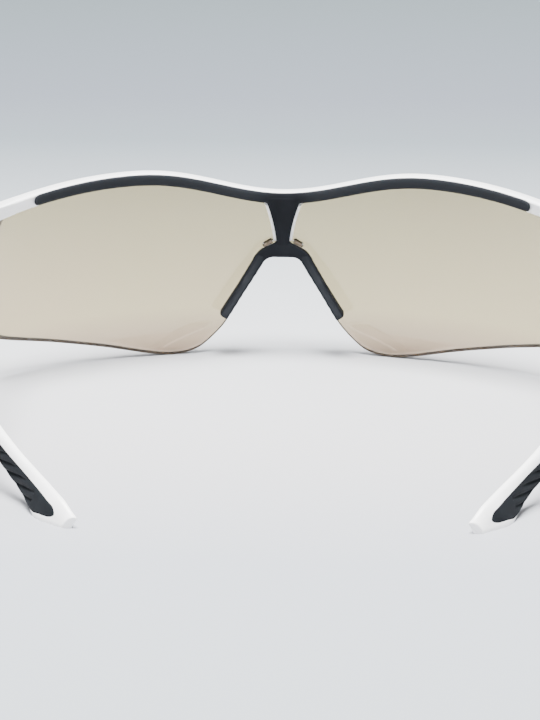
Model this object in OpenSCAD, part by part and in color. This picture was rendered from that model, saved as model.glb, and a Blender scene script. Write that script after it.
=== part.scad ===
// Sports sunglasses: a one-piece wrap lens in a half-rim front, with a soft brow pad,
// a nose piece with two bendable arms, and folding temples with soft grips.
// +Z is up, the lens faces -Y, the temples reach towards +Y, and the wearer's left is +X.
// The glasses stand on the two low lobes of the lens and on the feet of the temples at Z = 0.
// The origin is on that surface, below the middle of the outline.

/* [Front frame] */
// Overall width across the hinge lugs
front_w = 143.6; // [136:0.2:152]
// Height of the top of the brow bar above the surface that the glasses stand on
front_h = 46.1; // [44:0.1:49]
// Distance from the foremost point of the lens to the ends of the temples
overall_d = 154.6; // [146:0.2:164]
// Radius of the sphere that the front of the lens follows
wrap_r = 88; // [85:1:96]
// Height of the foremost point of the lens
wrap_z = 16; // [13:1:20]
// How far the brow bar dips over the nose
brow_dip = 6; // [5:0.1:7]
// Half the distance between the two highest points of the brow bar
brow_peak_x = 37; // [33:1:41]
// How far the brow bar falls from its highest point to the hinge
brow_fall = 5; // [4:0.1:5.6]
// Height of the brow bar
bar_h = 3.2; // [3:0.1:4]
// Thickness of the brow bar in front of the lens
bar_front = 0.9; // [0.7:0.1:1.4]
// Thickness of the brow bar and of the nose post behind the lens
bar_back = 1.9; // [1.6:0.1:2.4]
// Half width of the nose post where it leaves the brow bar
post_top = 4.4; // [4:0.1:5]
// Half width of the nose post at its foot
post_foot = 2.3; // [2.1:0.1:2.7]
// Height of the foot of the nose post
post_z = 27.6; // [27:0.1:29]

/* [Lens] */
// Thickness of the lens
lens_t = 2; // [1.8:0.1:2.3]
// How far the lens reaches up into the groove of the brow bar
lens_bite = 1.7; // [1.4:0.1:2]
// Half the distance between the two lowest points of the lens
lobe_x = 26; // [24:0.5:29]
// Height of the lower edge of the lens near its outer corner
lens_rise = 8.4; // [6:0.1:11]
// How far the outer edge of the lens stops inside the overall half width
lens_inset = 2.6; // [2.2:0.1:4]
// Height of the rounded outer corner of the lens
lens_corner_r = 4.2; // [3.4:0.1:5.4]
// Height of the top of the nose notch in the lens
notch_z = 24.4; // [23.5:0.1:25]
// Half width of the nose notch where its sides end
notch_half = 13.4; // [12.5:0.1:14.5]
// Length of each clip slot beside the nose post
slot_l = 2.4; // [2:0.1:2.7]
// Width of each clip slot
slot_w = 1.1; // [0.9:0.1:1.3]
// Distance of each clip slot from the middle of the lens
slot_x = 3.65; // [3.6:0.05:4.2]
// Height of each clip slot
slot_z = 26.7; // [26.5:0.1:27.2]
// Slope of each clip slot, in degrees
slot_tilt = 32; // [26:1:38]

/* [Brow pad] */
// Height of the soft strip along the brow bar
pad_h = 2.45; // [2.1:0.05:2.6]
// Half length of the soft strip
pad_half = 57.2; // [52:0.2:58]
// How far the brow bar stands above the soft strip
pad_drop = 0.35; // [0.3:0.05:0.5]
// How deep the soft strip is set into the brow bar
pad_sink = 0.8; // [0.5:0.1:1]
// How far the soft strip stands out behind the brow bar
pad_proud = 1.1; // [0.7:0.1:1.8]
// How much wider the nose post is than its soft facing, on each side
facing_inset = 0.75; // [0.5:0.05:0.9]

/* [Nose piece] */
// Thickness of the nose clip, which lies behind the lens
clip_t = 1.3; // [1.1:0.1:1.5]
// How far the nose clip shows around the soft bridge
clip_margin = 0.35; // [0.2:0.05:0.5]
// Thickness of the soft bridge behind the clip
bridge_t = 2.2; // [2:0.1:2.8]
// Distance of each arm's bending axis from the middle
bend_x = 5.3; // [5:0.1:5.8]
// Height of each arm's bending axis
bend_z = 23.8; // [23.4:0.1:24.2]
// Length of each nose arm from its bending axis
arm_len = 16.4; // [14:0.2:17.6]
// Angle of each nose arm from the vertical, in degrees
arm_angle = 32; // [29:0.2:34]
// Thickness of each nose arm
arm_t = 2.2; // [2:0.1:2.6]
// How far each nose arm bends inwards, in degrees
arm_bend = 22; // [15:1:25]
// Depth of each nose arm, front to back, at its root
arm_depth_root = 2.7; // [2.4:0.1:3]
// Depth of each nose arm, front to back, at its end
arm_depth_end = 6; // [4.5:0.1:7]
// Radius of the round root of each nose arm
root_r = 1.3; // [1.2:0.05:1.4]
// Thickness of the bendable metal core
core_t = 0.7; // [0.5:0.05:0.8]
// Width of the bendable metal core, front to back
core_w = 1.2; // [1:0.1:1.4]

/* [Hinges] */
// Height of the middle of the hinges
hinge_z = 37.2; // [36:0.1:38]
// Distance of the hinge axes behind the front of the lens at the ends of the brow bar
hinge_set = 10.55; // [9.8:0.05:12]
// Radius of the hinge ears
ear_r = 3; // [2.8:0.1:3.4]
// Height of the hinge lug at the ears
lug_h = 9.4; // [8.6:0.1:10]
// Height of the hinge knuckle on the temple
knuckle_h = 3.6; // [3:0.1:4]
// Radius of the hinge screw
screw_r = 0.7; // [0.6:0.05:0.8]
// Radius of the head of the hinge screw
screw_head_r = 1.25; // [1.1:0.05:1.5]
// Height of the head of the hinge screw
screw_head_h = 0.8; // [0.6:0.1:1]

/* [Temples] */
// Thickness of the temple at the hinge
temple_t = 3.2; // [2.8:0.1:3.4]
// Width of the temple from side to side near its end
tip_t = 2.8; // [2.7:0.1:3.2]
// Height of the temple a quarter of the way back
temple_shoulder = 6.2; // [5.6:0.1:7]
// Height of the temple where the grip begins
temple_mid = 4.9; // [4.6:0.1:5.6]
// Height of the temple where it is slimmest
temple_waist = 4.5; // [4.3:0.1:5.5]
// Height of the temple end where the grip is tallest
tip_h = 6.2; // [5.8:0.1:7]
// Distance between the inner top edges of the two temple ends
tip_gap = 79.4; // [72:0.2:86]
// Distance between the inner top edges of the temples where they begin to bend inwards
bend_gap = 124.6; // [118:0.2:127]
// Share of the temple's length at which it bends inwards
bend_at = 0.66; // [0.6:0.01:0.7]
// Height of the top edge at the end of each temple
foot_h = 2.4; // [2:0.1:3]
// How far the top edge of the temple sags below a straight line
top_sag = 0.25; // [0:0.05:0.6]
// How far the lower edge of the temple end leans outwards
foot_flare = 2.6; // [1.5:0.1:3.2]

/* [Grips] */
// Share of the temple's length at which the grip begins
grip_from = 0.44; // [0.4:0.01:0.5]
// Share of the temple's length at which the grip ends
grip_to = 0.965; // [0.93:0.005:0.97]
// Height of the hard spine above the grip
spine_h = 0.8; // [0.7:0.1:1.2]
// Thickness of the web that carries the grip
web_t = 1.1; // [0.9:0.1:1.3]
// Thickness of the grip below the web
grip_floor = 1; // [0.8:0.1:1.4]
// Number of slanting grooves across the outer face of the grip
groove_n = 13; // [6:1:16]
// Depth of each groove
groove_depth = 0.3; // [0.2:0.05:0.5]
// Width of each groove
groove_w = 0.8; // [0.5:0.1:1.2]
// Length of each groove
groove_l = 5; // [3:0.1:6]
// Slope of each groove from the vertical, in degrees, with its upper end to the back
groove_tilt = 62; // [40:1:70]

/* [Clearances] */
// Clearance between pieces that are fixed to each other
fit_gap = 0.03; // [0.02:0.01:0.05]
// Clearance between pieces that move past each other
run_gap = 0.3; // [0.25:0.05:0.4]
// Radial clearance of the hinge screw in its bores
bore_gap = 0.04; // [0.03:0.01:0.06]

/* [Hidden] */

white = [0.93, 0.93, 0.94];
black = [0.16, 0.17, 0.18];
smoke = [0.78, 0.74, 0.67, 0.6];
steel = [0.75, 0.75, 0.77];

// Places that follow from the driving dimensions
half_w = front_w / 2;
front_y = -overall_d / 2;
tip_y = overall_d / 2;
sphere_y = front_y + sqrt(pow(wrap_r, 2) - pow(notch_half * 0.7, 2));
hinge_x = half_w - ear_r;
bar_x = half_w - 6.5;
hinge_y = shell_y(bar_x, hinge_z, 0) + hinge_set;
run = tip_y - hinge_y;

// Depths behind the front face of the lens, along its radius
lens_back = lens_t;
bar_rear = lens_t + bar_back;
pad_front = bar_rear - pad_sink;
pad_rear = bar_rear + pad_proud;
clip_front = lens_t + fit_gap;
clip_rear = clip_front + clip_t;
bridge_front = clip_rear + fit_gap;
bridge_rear = bridge_front + bridge_t;

// Curves of the front view
arc_n = 96;
function brow_z(x) = let (a = abs(x)) a < brow_peak_x
    ? front_h - brow_dip * pow(0.5 + 0.5 * cos(180 * a / brow_peak_x), 1.2)
    : front_h - brow_fall * pow((a - brow_peak_x) / (half_w - brow_peak_x), 1.9);
function post_half(z) = let (t = (z - post_z) / (brow_z(0) - bar_h - post_z))
    post_foot + (post_top - post_foot) * pow(max(0, t), 2.2);

// A smooth curve through a few points, with n steps between each pair
function cubic(a, b, c, d, t) = 0.5 * (2 * b + (c - a) * t + (2 * a - 5 * b + 4 * c - d) * t * t
    + (3 * b - a - 3 * c + d) * t * t * t);
function curve(p, n = 6) = concat([for (i = [0:len(p) - 2]) for (j = [0:n - 1])
    cubic(p[max(i - 1, 0)], p[i], p[i + 1], p[min(i + 2, len(p) - 1)], j / n)], [p[len(p) - 1]]);
function flip(p) = [for (i = [len(p) - 1:-1:0]) [-p[i].x, p[i].y]];

// A smooth value that passes through [place, value] keys
function eased(f, k) = let (i = max([for (j = [0:len(k) - 2]) k[j][0] <= f ? j : 0]),
    t = min(1, max(0, (f - k[i][0]) / (k[i + 1][0] - k[i][0]))))
    k[i][1] + (k[i + 1][1] - k[i][1]) * t * t * (3 - 2 * t);

// A shell between two depths behind the front face of the lens
module shell(near, far) translate([0, sphere_y, wrap_z]) difference() {
    sphere(wrap_r - near, $fn = arc_n);
    sphere(wrap_r - far, $fn = arc_n);
}

// A front-view outline carried back through the front half of the shells
module front_view() rotate([90, 0, 0]) translate([0, 0, -sphere_y + wrap_r * 0.15])
    linear_extrude(wrap_r) children();

module layer(near, far) intersection() {
    shell(near, far);
    front_view() children();
}

module at_side(side) if (side > 0) children(); else mirror([1, 0, 0]) children();

// How much further the soft strip and the lower edge of the bar drop towards the ends
end_drop = 0.45;
function drop(x) = end_drop * pow(abs(x) / half_w, 3);

// Brow band between two drops below the top edge, out to a half length
module brow_band(top, bottom, reach, steps = 40) {
    xs = [for (i = [-steps:steps]) reach * i / steps];
    polygon(concat([for (x = xs) [x, brow_z(x) - top - (top > 0 ? drop(x) : 0)]],
                   [for (i = [len(xs) - 1:-1:0]) [xs[i], brow_z(xs[i]) - drop(xs[i]) - bottom]]));
}

// Nose post outline, narrowed by an inset on each side
module post_outline(inset, foot, head) {
    zs = [for (i = [0:8]) foot + (head - foot) * i / 8];
    right = [for (z = zs) [post_half(z) - inset, z]];
    polygon(concat(right, flip(right)));
}

// Tongue of the post, which keys into the nose clip
tongue_half = post_foot * 0.5;
tongue_drop = clip_t * 1.3;

// Lens outline: notch, lobe, rising lower edge and an outer corner that tucks into the hinge lug
lens_half = half_w - lens_inset;
lens_top = bar_x - 0.6;
lug_low = hinge_z - lug_h / 2;
function lens_corner(m) = [[lens_half - 0.4 + m, lug_low - 2.4], [lens_half - 0.9 + m, lug_low + 1.6 + m],
    [lens_half - 2.4 + m, lug_low + 3.8 + m]];
lens_edge = concat(
    [[0, notch_z], [bend_x * 0.5, notch_z - 0.4], [bend_x * 0.9, notch_z - 2],
     [bend_x + 1.2, notch_z - 3.8], [notch_half - 3.3, notch_z * 0.58], [notch_half, notch_z * 0.31]],
    [[lobe_x - 8, 2.75], [lobe_x - 4.6, 0.75], [lobe_x, 0], [lobe_x + 6, lens_rise * 0.08],
     [lobe_x + (lens_half - lobe_x) * 0.37, lens_rise * 0.37],
     [lobe_x + (lens_half - lobe_x) * 0.6, lens_rise * 0.66],
     [lens_half - 3.6, lens_rise + 0.9], [lens_half - 0.8, lens_rise + lens_corner_r],
     [lens_half, lens_rise + lens_corner_r * 2.4]], lens_corner(0));
module lens_outline() {
    low = curve(lens_edge, 5);
    top_n = 40;
    top = [for (i = [0:top_n]) let (x = lens_top * (1 - 2 * i / top_n))
        [x, brow_z(x) - drop(x) - bar_h + lens_bite]];
    right = [for (p = low) [p.x, max(0, p.y)]];
    polygon(concat(right, top, flip([for (i = [1:len(right) - 1]) right[i]])));
}

module slot_shape(l, w) translate([slot_x, slot_z]) rotate(-slot_tilt) square([l, w], center = true);

// White half-rim front: brow bar, nose post and a hinge lug with two ears at each end
module front_frame() color(white) difference() {
    union() {
        layer(-bar_front, bar_rear) brow_band(0, bar_h, half_w - 5);
        layer(clip_front, bar_rear) post_outline(0, post_z, brow_z(0) - bar_h / 2);
        layer(clip_front, clip_rear) translate([-tongue_half, post_z - tongue_drop])
            square([2 * tongue_half, tongue_drop + 1]);
        for (side = [-1, 1]) at_side(side) hinge_lug();
    }
    // Groove for the top edge of the lens
    layer(-fit_gap, lens_back + fit_gap) brow_band(bar_h - lens_bite - fit_gap, bar_h + 1, lens_top + fit_gap);
    // Pockets in the lugs for the outer corners of the lens
    for (side = [-1, 1]) layer(-fit_gap, lens_back + fit_gap) mirror([side < 0 ? 1 : 0, 0])
        polygon(concat([[lens_top - 2, lug_low - 4], [lens_half, lug_low - 4]], lens_corner(fit_gap * 2),
                       [[lens_top + fit_gap, brow_z(lens_top) - drop(lens_top) - bar_h + lens_bite + fit_gap],
                        [lens_top - 2, brow_z(lens_top) - bar_h]]));
    // Recess for the soft strip
    layer(pad_front - fit_gap, pad_rear + 3)
        brow_band(pad_drop - fit_gap, bar_h + 1, pad_half + fit_gap);
    for (side = [-1, 1]) at_side(side) {
        hinge_slot();
        screw_bore();
    }
}

// Plan and side outlines of the lug that joins the bar to the hinge ears
function shell_y(x, z, depth) = sphere_y - sqrt(pow(wrap_r - depth, 2) - x * x - pow(z - wrap_z, 2));
module hinge_lug() {
    mid_z = brow_z(bar_x) - bar_h / 2;
    outer_y = shell_y(bar_x, mid_z, -bar_front);
    inner_y = shell_y(bar_x, mid_z, bar_rear);
    top_z = hinge_z + lug_h / 2;
    intersection() {
        translate([0, 0, lug_low - 1]) linear_extrude(lug_h + 6) union() {
            translate([hinge_x, hinge_y]) circle(ear_r, $fn = arc_n);
            polygon([[bar_x, outer_y + 0.2], [bar_x + 3.2, outer_y + 4.2],
                     [half_w - 0.6, hinge_y - 3.6], [half_w, hinge_y - 0.4],
                     [hinge_x + ear_r - 0.02, hinge_y], [hinge_x, hinge_y + 0.4],
                     [hinge_x - ear_r * 0.8, hinge_y - ear_r * 0.6],
                     [bar_x, inner_y - 0.1]]);
        }
        rotate([90, 0, 90]) linear_extrude(half_w + 1) polygon([
            [outer_y - 2, brow_z(bar_x) - bar_h], [outer_y - 2, brow_z(bar_x)],
            [hinge_y - ear_r - 1, top_z], [hinge_y + ear_r + 1, top_z],
            [hinge_y + ear_r + 1, lug_low], [hinge_y - ear_r + 0.4, lug_low],
            [hinge_y - ear_r - 1, lug_low + 0.7], [hinge_y - ear_r - 3, lug_low + 3]]);
    }
}

// Space between the ears, open towards the inside and the back for the knuckle's neck
slot_r = ear_r + 0.1;
module hinge_slot() translate([hinge_x, hinge_y, hinge_z - knuckle_h / 2 - run_gap / 2])
    linear_extrude(knuckle_h + run_gap) {
        circle(slot_r, $fn = arc_n);
        translate([-ear_r * 2, -ear_r * 0.5]) square([ear_r * 2, ear_r * 2.5]);
    }

// Bore for the hinge screw, blind below, with a counterbore for its head
blind_floor = 0.6;
module screw_bore() translate([hinge_x, hinge_y, 0]) {
    translate([0, 0, lug_low + blind_floor])
        cylinder(lug_h, r = screw_r + bore_gap, $fn = arc_n);
    translate([0, 0, hinge_z + lug_h / 2 - screw_head_h])
        cylinder(screw_head_h + 1, r = screw_head_r + bore_gap, $fn = arc_n);
}

// One-piece tinted lens with a nose notch and two clip slots
module lens_shield() color(smoke) difference() {
    layer(0, lens_back) lens_outline();
    layer(-2, lens_back + 2) for (side = [-1, 1]) mirror([side < 0 ? 1 : 0, 0]) slot_shape(slot_l, slot_w);
}

// Soft strip along the brow bar, with a facing that covers the nose post
module pad_strip(half, top, h, steps = 36) {
    r = h / 2;
    ends = [for (i = [1:7]) let (a = 90 - 180 * i / 8) [half - r + r * cos(a), r * sin(a)]];
    xs = [for (i = [-steps:steps]) (half - r) * i / steps];
    mid = brow_z(half - r) - drop(half - r) - top - r;
    upper = [for (x = xs) [x, brow_z(x) - drop(x) - top]];
    lower = [for (i = [len(xs) - 1:-1:0]) [xs[i], brow_z(xs[i]) - drop(xs[i]) - top - h]];
    right = [for (p = ends) [p.x, p.y + mid]];
    polygon(concat(upper, right, lower, flip(right)));
}
module brow_pad() color(black) {
    facing_foot = post_z + 0.9;
    union() {
        layer(pad_front, pad_rear) pad_strip(pad_half, pad_drop, pad_h);
        layer(bar_rear + fit_gap, pad_rear) post_outline(facing_inset, facing_foot, brow_z(0) - bar_h / 2);
    }
}

// Saddle outline, which the clip and the soft bridge share, with a margin for the clip
saddle_top = post_z + 0.85;
function saddle_right(m) = [[post_half(post_z) - facing_inset + m, saddle_top],
    [post_half(post_z) - facing_inset + m, post_z - 0.1], [bend_x * 0.44 + m, post_z - 0.75 + m * 0.7],
    [bend_x * 0.72 + m * 0.6, bend_z + 2.35 + m], [bend_x + 0.75 + m * 0.6, bend_z + 1.1 + m],
    [bend_x + 1.2 + m, bend_z], [bend_x - 0.6, bend_z - 1.25 + m * 0.2],
    [bend_x * 0.5, bend_z - 0.35 + m * 0.3], [0.01, bend_z + 0.1 + m * 0.3]];
module saddle_outline(m, top) intersection() {
    right = saddle_right(m);
    polygon(concat(right, flip(right)));
    translate([-half_w, 0]) square([front_w, top]);
}

// Hard clip behind the lens, with a hook through each clip slot
hook_w = slot_w * 0.36;
hook_out = 0.3;
module nose_clip() color(white) {
    layer(clip_front, clip_rear) difference() {
        saddle_outline(clip_margin, post_z - fit_gap);
        translate([-tongue_half - fit_gap, post_z - tongue_drop - fit_gap])
            square([2 * (tongue_half + fit_gap), tongue_drop + 1]);
    }
    for (side = [-1, 1]) at_side(side) layer(-hook_out, clip_rear)
        translate([slot_x, slot_z]) rotate(-slot_tilt)
        translate([-slot_l * 0.38, fit_gap * 2 - slot_w / 2]) square([slot_l * 0.42, hook_w]);
}

// Space around the round root of a nose arm
module root_space(gap) translate([bend_x, front_y, bend_z]) rotate([-90, 0, 0])
    cylinder(root_reach, r = root_r + gap, $fn = arc_n);

// Arched space for the metal core in the bridge
core_r = 7.3;
core_span = 30;
module core_arch(t, w, span) translate([0, 0, bend_z + 1.7 - core_r]) rotate([90, 0, 0])
    translate([0, 0, -core_y(w)]) linear_extrude(w) intersection() {
        difference() {
            circle(core_r + t / 2, $fn = arc_n);
            circle(core_r - t / 2, $fn = arc_n);
        }
        polygon([[0, 0], [core_r * 2 * sin(span), core_r * 2 * cos(span)], [0, core_r * 3],
                 [-core_r * 2 * sin(span), core_r * 2 * cos(span)]]);
    }
bridge_mid_y = shell_y(0, bend_z, (bridge_front + bridge_rear) / 2);
function core_y(w) = bridge_mid_y + w / 2;

// Soft bridge over the nose, with a socket for each arm's root
module nose_bridge() color(black) difference() {
    layer(bridge_front, bridge_rear) saddle_outline(0, saddle_top);
    for (side = [-1, 1]) at_side(side) root_space(run_gap);
    core_arch(core_t + 2 * fit_gap, core_w + 2 * fit_gap, core_span + 8);
    arm_sweep_space();
    // Clears the foot of the nose post
    layer(clip_front, bar_rear + fit_gap) translate([-half_w, post_z - fit_gap]) square([front_w, post_z]);
}

// Keeps the ends of the bridge clear of the arms as they bend inwards
root_reach = arm_len;
arm_side = asin(min(1, (arm_t / 2 + run_gap / 2) / (root_r + run_gap)));
module arm_sweep_space() for (side = [-1, 1]) at_side(side)
    translate([bend_x, front_y, bend_z]) rotate([-90, 0, 0]) linear_extrude(root_reach)
        polygon([[0, 0], for (a = [arm_angle + arm_side, arm_angle - arm_side - arm_bend])
            root_reach * [sin(a), cos(a)]]);

module nose_core_bridge() color(steel) core_arch(core_t, core_w, core_span);

// Frame of a nose arm: its length runs along -Z from the bending axis
arm_front_y = shell_y(bend_x, bend_z, clip_rear) + run_gap;
module arm_frame() translate([bend_x, arm_front_y, bend_z]) rotate([0, -arm_angle, 0]) children();

// Soft nose arm: a blade that deepens towards its rounded end
module nose_pad(side) color(black) at_side(side) difference() {
    arm_frame() union() {
        rotate([-90, 0, 0]) cylinder(arm_depth_root, r = root_r, $fn = arc_n);
        intersection() {
            rotate([90, 0, 0]) translate([0, 0, -arm_depth_end - 1]) linear_extrude(arm_depth_end + 2)
                polygon(concat([[-arm_t / 2, 0], [arm_t / 2, 0]],
                    [for (a = [0:30:180]) [arm_t / 2 * cos(a), -arm_len + arm_t / 2 - arm_t / 2 * sin(a)]]));
            rotate([90, 0, 90]) translate([0, 0, -arm_t]) linear_extrude(2 * arm_t)
                polygon(curve([[0, 0.4], [0, -arm_len], [0, -arm_len - 1], [arm_depth_end * 0.7, -arm_len - 1],
                    [arm_depth_end * 0.95, -arm_len + 1.2], [arm_depth_end, -arm_len * 0.75],
                    [arm_depth_end * 0.8, -arm_len * 0.42], [arm_depth_root, -arm_len * 0.12],
                    [arm_depth_root, 0.4]], 1));
        }
    }
    arm_frame() core_bar(core_t + 2 * fit_gap, core_w + 2 * fit_gap, fit_gap, root_r + 1);
}

// Straight stretch of the metal core in a nose arm
module core_bar(t, w, extra, lead) translate([-t / 2, arm_depth_root / 2 - w / 2, -arm_len * 0.86 - extra])
    cube([t, w, arm_len * 0.86 + extra + lead]);
module nose_core(side) color(steel) at_side(side) arm_frame() core_bar(core_t, core_w, 0, 0.4);

// Temple path: inner top edge, top height, bottom height and width at a share f of its length
bend_r = 0.03;
function ramp(f) = (f - bend_at) / 2 + sqrt(pow((f - bend_at) / 2, 2) + bend_r * bend_r);
ear_wall = 0.5;
root_x = hinge_x + ear_r - ear_wall - temple_t;
function ridge_x(f) = let (lean = (root_x - bend_gap / 2) / bend_at,
    rest = root_x - lean - tip_gap / 2) root_x - lean * f - rest * (ramp(f) - ramp(0)) / (ramp(1) - ramp(0));
top_0 = hinge_z + lug_h / 2;
function top_z(f) = foot_h + (top_0 - foot_h) * (1 - f) - top_sag * sin(180 * f);
function height(f) = eased(f, [[0, lug_h], [0.24, temple_shoulder], [0.46, temple_mid],
    [0.66, temple_waist], [0.88, tip_h], [1, tip_h]]);
function low_z(f) = max(0, top_z(f) - height(f));
function width(f) = eased(f, [[0, temple_t], [0.46, tip_t], [0.94, tip_t + 0.2], [1, tip_t * 0.8]]);
function flare(f) = eased(f, [[0, 0], [0.82, 0.2], [0.95, foot_flare], [1, foot_flare * 0.6]]);

// Point of the temple section: u across from the inner face, v up from the lower edge
function place(f, u, v) = let (h = top_z(f) - low_z(f))
    [ridge_x(f) + u + flare(f) * (1 - v / h), hinge_y + run * f, low_z(f) + v];
edge_c = 0.55;
function full_ring(f) = let (w = width(f), h = top_z(f) - low_z(f), c = min(edge_c, h * 0.3)) [
    place(f, c, h), place(f, w - c, h), place(f, w, h - c), place(f, w, h * 0.5), place(f, w, c),
    place(f, w - c, 0), place(f, c, 0), place(f, 0, c), place(f, 0, h * 0.5), place(f, 0, h - c)];
function tee_ring(f) = let (w = width(f), h = top_z(f) - low_z(f), a = (w - web_t) / 2, s = h - spine_h) [
    place(f, edge_c, h), place(f, w - edge_c, h), place(f, w, h - edge_c), place(f, w, s),
    place(f, w - a, s), place(f, w - a, grip_floor), place(f, a, grip_floor), place(f, a, s),
    place(f, 0, s), place(f, 0, h - edge_c)];
function grip_ring(f) = let (w = width(f), s = top_z(f) - low_z(f) - spine_h - fit_gap) [
    place(f, w, s), place(f, w, edge_c), place(f, w - edge_c, 0),
    place(f, edge_c, 0), place(f, 0, edge_c), place(f, 0, s)];
function web_ring(f) = let (w = width(f), s = top_z(f) - low_z(f) - spine_h, a = (w - web_t) / 2 - fit_gap,
    b = grip_floor - fit_gap) [place(f, w - a, s), place(f, w - a, b), place(f, a, b), place(f, a, s)];

// A closed solid through rings that have the same number of points
module loft(rings) {
    n = len(rings[0]);
    m = len(rings);
    polyhedron(
        points = [for (r = rings) each r],
        faces = concat(
            [[for (i = [0:n - 1]) i]],
            [for (k = [0:m - 2]) for (i = [0:n - 1]) each [
                [k * n + i, (k + 1) * n + i, k * n + (i + 1) % n],
                [k * n + (i + 1) % n, (k + 1) * n + i, (k + 1) * n + (i + 1) % n]]],
            [[for (i = [n - 1:-1:0]) (m - 1) * n + i]]));
}
function spread(a, b, n) = [for (i = [0:n]) a + (b - a) * i / n];
step = 0.0002;

// White temple: hinge knuckle, blade, spine and web behind the grip, and a flat foot
module temple_arm(side) color(white) at_side(side) difference() {
    union() {
        difference() {
            loft(concat([for (f = concat(spread(0.004, 0.08, 2), spread(0.12, grip_from, 6))) full_ring(f)],
                        [for (f = spread(grip_from + step, grip_to - step, 16)) tee_ring(f)],
                        [for (f = spread(grip_to, 1, 4)) full_ring(f)]));
            blade_relief();
        }
        translate([hinge_x, hinge_y, hinge_z - knuckle_h / 2])
            cylinder(knuckle_h, r = ear_r - 0.2, $fn = arc_n);
    }
    translate([hinge_x, hinge_y, 0]) cylinder(front_h * 2, r = screw_r + bore_gap, $fn = arc_n);
}

// Clears the blade from the ears above and below the knuckle's neck
module blade_relief() translate([hinge_x, hinge_y, hinge_z]) difference() {
    cylinder(lug_h * 2, r = ear_r + run_gap, center = true, $fn = arc_n);
    translate([-lug_h, -lug_h, -knuckle_h / 2]) cube([2 * lug_h, 2 * lug_h, knuckle_h]);
}

// Soft grip that wraps the web of the temple end
module temple_grip(side) color(black) at_side(side) difference() {
    loft([for (f = spread(grip_from + 2 * step, grip_to - 2 * step, 16)) grip_ring(f)]);
    loft([for (f = spread(grip_from, grip_to, 16)) web_ring(f)]);
    for (f = spread(grip_from + 0.04, grip_to - 0.03, groove_n - 1)) grip_groove(f);
}

// A shallow groove that crosses the lower half of the outer face
module grip_groove(f) let (ahead = place(f + 0.01, 0, 0), behind = place(f - 0.01, 0, 0))
    translate(place(f, width(f), grip_floor)) rotate(-atan2(ahead.x - behind.x, ahead.y - behind.y))
    rotate([-groove_tilt, 0, 0]) cube([2 * groove_depth, groove_w, groove_l], center = true);

// Steel hinge screw with a slotted head
module hinge_screw(side) color(steel) at_side(side) translate([hinge_x, hinge_y, 0]) difference() {
    union() {
        translate([0, 0, lug_low + blind_floor + run_gap])
            cylinder(lug_h - blind_floor - run_gap - screw_head_h / 2, r = screw_r, $fn = arc_n);
        translate([0, 0, hinge_z + lug_h / 2 - screw_head_h + fit_gap])
            cylinder(screw_head_h - 2 * fit_gap, r = screw_head_r, $fn = arc_n);
    }
    translate([-screw_head_r * 2, -0.2, hinge_z + lug_h / 2 - screw_head_h / 2])
        cube([screw_head_r * 4, 0.4, screw_head_h]);
}

front_frame();
lens_shield();
brow_pad();
nose_clip();
nose_bridge();
nose_core_bridge();
nose_core(1);  // nose_core_left
nose_core(-1);  // nose_core_right
nose_pad(1);  // nose_pad_left
nose_pad(-1);  // nose_pad_right
temple_arm(1);  // temple_arm_left
temple_arm(-1);  // temple_arm_right
temple_grip(1);  // temple_grip_left
temple_grip(-1);  // temple_grip_right
hinge_screw(1);  // hinge_screw_left
hinge_screw(-1);  // hinge_screw_right
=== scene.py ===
import math

import bmesh
import bpy
import numpy as np
from mathutils import Matrix, Vector


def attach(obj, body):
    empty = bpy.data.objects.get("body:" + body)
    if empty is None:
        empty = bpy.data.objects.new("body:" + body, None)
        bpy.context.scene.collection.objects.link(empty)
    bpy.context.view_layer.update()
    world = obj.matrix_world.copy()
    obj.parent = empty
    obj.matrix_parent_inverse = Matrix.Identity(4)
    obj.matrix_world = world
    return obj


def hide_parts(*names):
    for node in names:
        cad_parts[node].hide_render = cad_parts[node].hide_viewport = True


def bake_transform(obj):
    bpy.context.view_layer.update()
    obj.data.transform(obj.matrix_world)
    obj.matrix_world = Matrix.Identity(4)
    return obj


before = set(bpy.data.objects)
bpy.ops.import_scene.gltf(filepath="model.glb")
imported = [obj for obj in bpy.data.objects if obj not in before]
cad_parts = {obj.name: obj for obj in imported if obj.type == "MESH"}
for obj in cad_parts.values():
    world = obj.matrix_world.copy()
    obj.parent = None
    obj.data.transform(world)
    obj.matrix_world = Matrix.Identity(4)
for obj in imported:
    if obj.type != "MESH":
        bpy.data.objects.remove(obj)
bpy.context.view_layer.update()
mm = 0.001


# Camera
# The glasses are seen from behind, about fourteen degrees above the surface they stand on,
# with a long lens from ninety centimetres away.
pitch = math.radians(14.1283)
turn = math.radians(0.7527)
roll = math.radians(0.5532)
focal_length = 202.39
distance = 900.1
aim = Vector((1.85, 0, 16.6643)) * mm
ahead = Vector((math.sin(turn) * math.cos(pitch), -math.cos(turn) * math.cos(pitch), -math.sin(pitch)))
level = Vector((-math.cos(turn), -math.sin(turn), 0))
upright = Vector((math.sin(turn) * math.sin(pitch), -math.cos(turn) * math.sin(pitch), math.cos(pitch)))
across = level * math.cos(roll) + upright * math.sin(roll)
upward = upright * math.cos(roll) - level * math.sin(roll)
camera = bpy.data.objects.new("camera", bpy.data.cameras.new("camera"))
camera.data.sensor_width = 36
camera.data.lens = focal_length
camera.data.clip_end = 20
stand = aim - ahead * distance * mm
camera.matrix_world = Matrix((
    (across.x, upward.x, -ahead.x, stand.x),
    (across.y, upward.y, -ahead.y, stand.y),
    (across.z, upward.z, -ahead.z, stand.z),
    (0, 0, 0, 1)))
bpy.context.scene.collection.objects.link(camera)
bpy.context.scene.camera = camera


# Studio surface and light
# A seamless pale sheet runs under the glasses and away behind them. Its colour holds painted light:
# lightest in a painted pool of light under the glasses, and darkened by painted shade in the distance and a
# little towards the camera.
# Soft lights hang over the glasses, behind the camera and beyond the lens.
# The pale room fills the shadows.
def new_material(name):
    """A new material with its nodes, its links and its main shader."""
    material = bpy.data.materials.new(name)
    material.use_nodes = True
    nodes = material.node_tree.nodes
    return material, nodes, material.node_tree.links, nodes["Principled BSDF"]


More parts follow.
